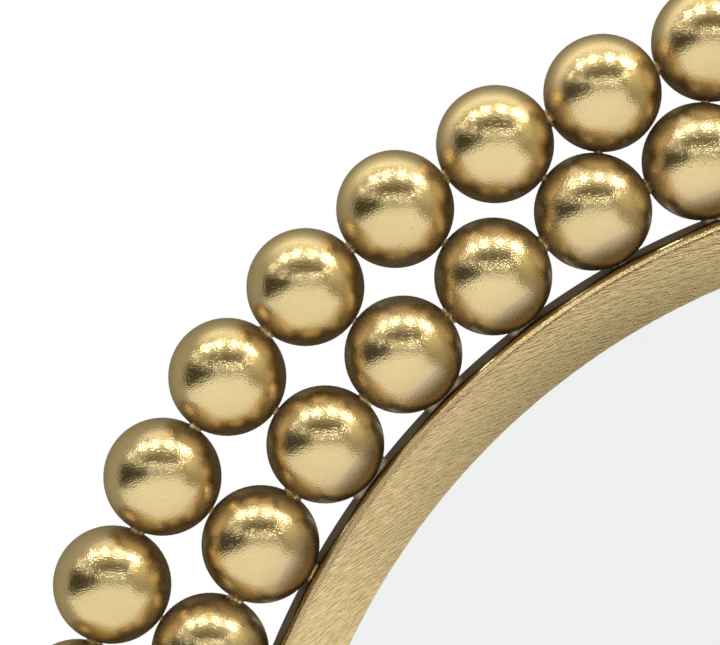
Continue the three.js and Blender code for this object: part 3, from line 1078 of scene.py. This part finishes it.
def add_screw(back, steel, node, name):
    """A pan-head screw that points to -Y, with a cross recess in its head."""
    place = screw_place(node)
    low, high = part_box(node)
    tip, top = low.y, high.y
    seat = top - back.head_height
    head, shank = back.head_radius, back.shank_radius
    crown, crown_reach, crown_rise = top - 0.8 * MM, 0.9 * MM, 0.72 * MM
    profile = [
        (0.0, tip),
        (shank * 0.55, tip + 0.2 * MM),
        (shank, tip + 1.6 * MM),
        (shank, seat),
        (head - 0.15 * MM, seat),
        (head, seat + 0.2 * MM),
        (head, crown),
        *(
            (head - crown_reach * (1 - math.cos(a)), crown + crown_rise * math.sin(a))
            for a in (math.radians(20 * k) for k in range(1, 5))
        ),
        (head * 0.55, top),
    ]
    shape = Shape()
    shape.lathe(profile, SMALL_SIDES, (place.x, place.z))
    spin = math.radians(17 * (round(place.x * 1000) % 5))
    add_recess(shape, place, top, spin)
    shape.piece(name, [steel], [node], sharp=35)


def add_recess(shape, place, top, spin):
    """Closes a screw head with a tapered cross recess inside its rim, the last ring of corners."""
    slot, reach, depth, taper = 0.42 * MM, 1.75 * MM, 1.1 * MM, 0.62
    mouth, floor = [], []
    for side in range(SMALL_SIDES):
        turn = 2 * math.pi * side / SMALL_SIDES
        c, s = abs(math.cos(turn + spin)), abs(math.sin(turn + spin))
        wide, narrow = max(c, s), min(c, s)
        r = reach / wide if narrow / wide < slot / reach else slot / narrow
        r = min(r, reach * 1.02)
        way = Vector((math.cos(turn), 0, math.sin(turn)))
        mouth.append(Vector((place.x, top, place.z)) + way * r)
        floor.append(Vector((place.x, top - depth, place.z)) + way * (r * taper))
    start = len(shape.corners)
    shape.corners.extend(mouth + floor + [Vector((place.x, top - depth * 1.25, place.z))])
    rim, low = start - SMALL_SIDES, start + SMALL_SIDES
    for side in range(SMALL_SIDES):
        following = (side + 1) % SMALL_SIDES
        faces = [[rim + side, rim + following, start + following, start + side]]
        faces.append([start + side, start + following, low + following, low + side])
        faces.append([low + side, low + following, low + SMALL_SIDES])
        shape.add_faces(faces)


class BuildHangers(Operator):
    """The strap hangers with their D-rings and screws"""

    bl_idname = "mirror.build_hangers"
    bl_label = "Hangers"

    def execute(self, context):
        back = context.scene.mirror.back
        steel = zinc_steel(back)
        for side in ("left", "right"):
            hinge = next(j for j in frame["joints"] if j["name"] == f"hanger_ring_{side}_hinge")
            bar = Vector(hinge["pos_m"])
            self.add_strap(back, steel, side, bar)
            self.add_ring(back, steel, side, bar)
            for number in (1, 2):
                add_screw(back, steel, f"hanger_screw_{side}_{number}", f"strap_screw_{side}_{number}")
        return {"FINISHED"}

    def add_strap(self, back, steel, side, bar):
        """Sheet rolled into an eye round the bar, its tail flat on the board."""
        low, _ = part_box(f"hanger_strap_{side}")
        hole = back.wire_radius + CLEARANCE
        outer = hole + back.sheet
        front, rear = low.y, low.y + back.sheet
        eye = (front + outer, bar.z)
        half, end = back.strap_width / 2, 6 * MM
        # the sheet's two faces in (y, z), from the tail's end up and round the eye
        outside = [(front, low.z), (front, low.z + end), (front, bar.z - outer * 0.6)]
        outside += arc(eye, outer, 180, -150, 40)
        inside = [(rear, low.z), (rear, low.z + end), (rear, bar.z - outer * 0.85)]
        inside += arc(eye, hole, 188, -150, 40)
        rings = []
        for row, ((y1, z1), (y2, z2)) in enumerate(zip(outside, inside)):
            wide = half - end * 0.45 if row == 0 else half
            corners = ((-wide, y1, z1), (wide, y1, z1), (wide, y2, z2), (-wide, y2, z2))
            rings.append([Vector((bar.x + x, y, z)) for x, y, z in corners])
        shape = Shape()
        shape.loft(rings)
        node = f"hanger_strap_{side}"
        shape.piece(f"strap_{side}", [steel], [node], bevel=0.25 * MM, sharp=45)

    def add_ring(self, back, steel, side, bar):
        """The bent wire of a D-ring, leaning on the board."""
        half, corner = back.ring_width / 2, 2.5 * MM
        route = [(-half + corner, 0.0), (0.0, 0.0)]
        route += arc((half - corner, corner), corner, -90, 0, 8)
        route += arc((0.0, back.ring_height - half), half, 0, 180, 40)
        route += arc((-half + corner, corner), corner, 180, 270, 8)[:-1]
        points = [Vector((x, 0, z)) for x, z in route]
        section = arc((0.0, 0.0), back.wire_radius, 0, 342, 19)
        rings = []
        for i, point in enumerate(points):
            along = (points[(i + 1) % len(points)] - point).normalized()
            along += (point - points[i - 1]).normalized()
            sideways = Y_AXIS.cross(along.normalized())
            rings.append([point + Y_AXIS * a + sideways * b for a, b in section])
        shape = Shape()
        shape.loft(rings, is_loop=True)
        lean = math.asin((bar.y - BOARD_HIGH.y - back.wire_radius - CLEARANCE) / back.ring_height)
        shape.move(Matrix.Translation(bar) @ Matrix.Rotation(lean, 4, "X"))
        shape.piece(f"d_ring_{side}", [steel], [f"hanger_ring_{side}"], sharp=60)


WHITE, BLACK = (1, 1, 1, 1), (0, 0, 0, 1)
FLOOR_FADE = (1.1, 2.3)  # metres from the mirror's middle
LAMP_DISTANCE = 2.4
NEAR_LAMP, FAR_LAMP = (0.30, 0.43), (0.13, 0.18)  # metres across, each way


class BuildStudio(Operator):
    """The floor, the lamps, what the metal reflects, and the camera"""

    bl_idname = "mirror.build_studio"
    bl_label = "Studio"

    def execute(self, context):
        studio = context.scene.mirror.studio
        middle = Vector((studio.camera_x, -context.scene.mirror.balls.depth, studio.camera_z))
        self.add_world(context, studio)
        self.add_floor(studio)
        self.add_flags(studio)
        self.add_lamps(studio, middle)
        self.add_camera(context, studio, middle)
        context.scene.view_settings.view_transform = "Standard"
        return {"FINISHED"}

    def add_world(self, context, studio):
        """White to the camera and in reflections, plain soft light elsewhere."""
        world = bpy.data.worlds.new("studio")
        context.scene.world = world
        finish = Finish(world)
        path = finish.node("ShaderNodeLightPath")
        seen = [path.beside(f"Is {kind} Ray") for kind in ("Camera", "Glossy", "Transmission")]
        light, backdrop = (
            finish.node("ShaderNodeBackground", sockets={"Color": WHITE, "Strength": strength})
            for strength in (studio.ambient, 1.0)
        )
        white = (seen[0] + seen[1] + seen[2]).clamped()
        mixed = finish.node("ShaderNodeMixShader", sockets={0: white, 1: light, 2: backdrop})
        finish.node("ShaderNodeOutputWorld", sockets={"Surface": mixed})
        world.cycles.sampling_method = "NONE"

    def add_floor(self, studio):
        """A pale floor that fades into the white far from the mirror."""
        finish = new_finish("floor")
        x, y, _ = finish.split(finish.place())
        base = finish.shades(finish.grain(finish.place(), 0.4, 2.0), studio.floor, 0.99, 1.0)
        kind = "ShaderNodeBsdfPrincipled"
        sheet = finish.node(kind, sockets={"Base Color": base, "Roughness": 0.9})
        glowing = {"Base Color": BLACK, "Emission Color": WHITE, "Emission Strength": 1.0}
        sockets = {0: distance(x, y).step(*FLOOR_FADE), 1: sheet, 2: finish.node(kind, sockets=glowing)}
        mixed = finish.node("ShaderNodeMixShader", sockets=sockets)
        finish.node("ShaderNodeOutputMaterial", sockets={"Surface": mixed})
        finish.owner.cycles.emission_sampling = "NONE"
        top, half = cad_box[0].z - 0.6 * MM, 2.6
        corners = [(-half, -half, top), (half, -half, top), (half, half, top), (-half, half, top)]
        stage_mesh("floor", quad(corners), finish.owner)

    def add_flags(self, studio):
        """Cloths and a ceiling that only reflections show, as a photographer's studio has; they glow with painted
        light and shade.
        """
        floor, roof = cad_box[0].z, 3.6
        pale = (0.95, 0.93, 0.87)
        edge, slope = -0.74, 0.322  # the left cloth's lower edge, and its rise towards the camera

        def front(finish):
            """Painted pale at its lower edge, dusky above it, and dark over the camera."""
            _, _, z = finish.split(finish.place())
            low = finish.shades(z.step(0.34, 0.58), pale, 1.0, 0.44)
            return finish.mix(z.step(0.95, 1.6), low, studio.front_flag)

        def left(finish):
            """Painted pale at its lower edge, dark above it, and dusky where it ends near the camera."""
            _, y, z = finish.split(finish.place())
            above = z - edge + (y + 0.1) * slope
            tone = finish.mix(above.step(0.0, 0.35), pale, studio.left_flag)
            return finish.mix((y * -1.0).step(2.3, 2.8) * 0.5, tone, shaded(pale, 0.5))

        def right(finish):
            """Painted lighter towards the ceiling, as the lamps' glow on it, and a little darker towards the
            camera.
            """
            _, y, z = finish.split(finish.place())
            tone = finish.shades(z.step(0.25, 1.1), studio.right_flag, 1.0, 1.9)
            return finish.mix((y * -1.0).step(0.8, 2.2) * 0.25, tone, shaded(studio.right_flag, 0.1))

        def plain(finish):
            """The ceiling's own colour."""
            return finish.shades(finish.grain(finish.place(), 0.5), studio.roof, 0.9, 1.0)

        def over(finish):
            """The ceiling, with a painted pool of light over the mirror: brighter there than at its sides and
            towards the camera.
            """
            x, y, _ = finish.split(finish.place())
            middle = 1 - x.math("ABSOLUTE").step(0.9, 2.2)
            return finish.mix(y.step(-2.5, -0.9) * middle, plain(finish), shaded(studio.roof, 2.0))

        def upright(first, second, low):
            """Corners of a cloth that hangs from the roof between two places (x, y)."""
            return [(*first, low), (*second, low), (*second, roof), (*first, roof)]

        panels = {
            "front_flag": (front, upright((-4.2, -3.1), (4.2, -3.1), 0.34)),
            "left_flag": (
                left,
                [(-2.5, -0.1, edge), (-1.5, -2.8, edge + 2.7 * slope), (-1.5, -2.8, 1), (-2.5, -0.1, 1)],
            ),
            "left_side": (plain, upright((-2.55, 0.0), (-2.9, -3.1), floor)),
            "right_flag": (right, upright((1.4, 0.0), (2.75, -3.1), floor)),
            "roof": (
                over,
                [(-4.2, -3.1, roof), (4.2, -3.1, roof), (4.2, 1.0, roof), (-4.2, 1.0, roof)],
            ),
        }
        for name, (tone, corners) in panels.items():
            finish = new_finish(name)
            glow(finish, tone(finish))
            only_reflected(stage_mesh(name, quad(corners), finish.owner))
        self.add_wall()

    def add_wall(self):
        """The wall behind the balls, shaded near them and seen only in their rims."""
        finish = new_finish("wall")
        x, _, z = finish.split(finish.place())
        radius = distance(x, z)
        lit = (z / radius).step(0.64, 0.77) * radius.step(0.455, 0.60)
        shade = finish.mix(radius.step(0.385, 0.445), (0.10, 0.09, 0.075), (0.38, 0.37, 0.33))
        shade = finish.mix(radius.step(0.455, 0.49), shade, (0.42, 0.405, 0.365))
        shade = finish.mix(lit, shade, (1.35, 1.32, 1.24))
        glow(finish, shade)
        shape = Shape()
        sides, end = 96, 2.4
        for reach in (RING_HIGH.x, end):
            shape.corners.extend(
                on_circle(reach, 2 * math.pi * i / sides, 0.5 * MM) for i in range(sides)
            )
        for i in range(sides):
            following = (i + 1) % sides
            shape.add_faces([[i, following, sides + following, sides + i]])
        only_reflected(stage_mesh("wall", shape, finish.owner))

    def add_lamps(self, studio, middle):
        """Round ceiling lamps in a near and a far row."""
        # sideways and forward of the picture's middle for each metre up, and share of the power
        near = [
            (-1.58, -0.42, 0.26), (-0.72, -0.37, 1.1), (-0.27, -0.39, 1.15),
            (0.21, -0.39, 1.15), (0.69, -0.34, 1.15), (0.98, -0.33, 0.95),
        ]
        far = [
            (-1.68, -1.59, 0.15), (-1.03, -2.41, 0.235), (-0.38, -2.54, 0.235), (0.27, -2.55, 0.235),
            (0.81, -2.47, 0.235), (1.30, -2.32, 0.235), (1.29, -1.17, 0.30),
        ]
        for number, (sideways, forward, share) in enumerate(near + far, 1):
            direction = Vector((sideways, forward, 1.0)).normalized()
            lamp = bpy.data.lights.new(f"lamp_{number}", "AREA")
            lamp.shape = "ELLIPSE"
            lamp.size, lamp.size_y = NEAR_LAMP if number <= len(near) else FAR_LAMP
            lamp.energy = studio.lamp_power * share
            made = bpy.data.objects.new(lamp.name, lamp)
            made.location = middle + direction * LAMP_DISTANCE
            made.rotation_euler = (-direction).to_track_quat("-Z", "Y").to_euler()
            made.visible_camera = False
            bpy.context.scene.collection.objects.link(made)

    def add_camera(self, context, studio, middle):
        """Looks square at the upper left of the mirror."""
        lens = bpy.data.cameras.new("camera")
        lens.sensor_fit = "HORIZONTAL"
        lens.lens = lens.sensor_width * studio.camera_distance / studio.frame_width
        lens.clip_start = 0.05
        made = bpy.data.objects.new("camera", lens)
        made.location = middle - Y_AXIS * studio.camera_distance
        made.rotation_euler = (math.pi / 2, 0, 0)
        context.scene.collection.objects.link(made)
        context.scene.camera = made


def glow(finish, shade):
    """Ends a material as a sheet that glows with the given painted tone, whatever lights it."""
    finish.surface(
        Base_Color=BLACK, Specular_IOR_Level=0.0, Emission_Color=shade, Emission_Strength=1.0
    )
    finish.owner.cycles.emission_sampling = "NONE"


def stage_mesh(name, shape, material):
    """An object of the studio, which isn't part of the mirror."""
    mesh = bpy.data.meshes.new(name)
    mesh.from_pydata([tuple(corner) for corner in shape.corners], [], shape.faces)
    mesh.materials.append(material)
    made = bpy.data.objects.new(name, mesh)
    bpy.context.scene.collection.objects.link(made)
    return made


def only_reflected(made):
    """Shows an object in reflections, and nowhere else."""
    made.visible_camera = False
    made.visible_diffuse = False
    made.visible_shadow = False
    made.visible_transmission = False
    made.visible_volume_scatter = False


# ---------------------------------------------------------------- panel and registration

BUILDERS = (BuildStudio, BuildRing, BuildBalls, BuildMirror, BuildBoard, BuildButtons, BuildHangers)


class MirrorPanel(Panel):
    """Lists the pieces of the mirror"""

    bl_idname = "VIEW3D_PT_mirror"
    bl_label = "Girandole Mirror"
    bl_space_type = "VIEW_3D"
    bl_region_type = "UI"
    bl_category = "Mirror"

    def draw(self, context):
        for builder in BUILDERS:
            self.layout.operator(builder.bl_idname)
        mirror = context.scene.mirror
        for group in (mirror.balls, mirror.ring, mirror.back, mirror.studio):
            box = self.layout.box()
            for name in group.bl_rna.properties.keys():
                if name not in {"rna_type", "name"}:
                    box.prop(group, name)


CLASSES = (
    BallSettings,
    RingSettings,
    BackSettings,
    StudioSettings,
    MirrorSettings,
    *BUILDERS,
    MirrorPanel,
)


def register():
    for item in CLASSES:
        bpy.utils.register_class(item)
    bpy.types.Scene.mirror = PointerProperty(type=MirrorSettings)


def unregister():
    del bpy.types.Scene.mirror
    for item in reversed(CLASSES):
        bpy.utils.unregister_class(item)


def main():
    """Builds everything in order."""
    register()
    for builder in BUILDERS:
        group, name = builder.bl_idname.split(".")
        getattr(getattr(bpy.ops, group), name)()


if __name__ == "__main__":
    main()
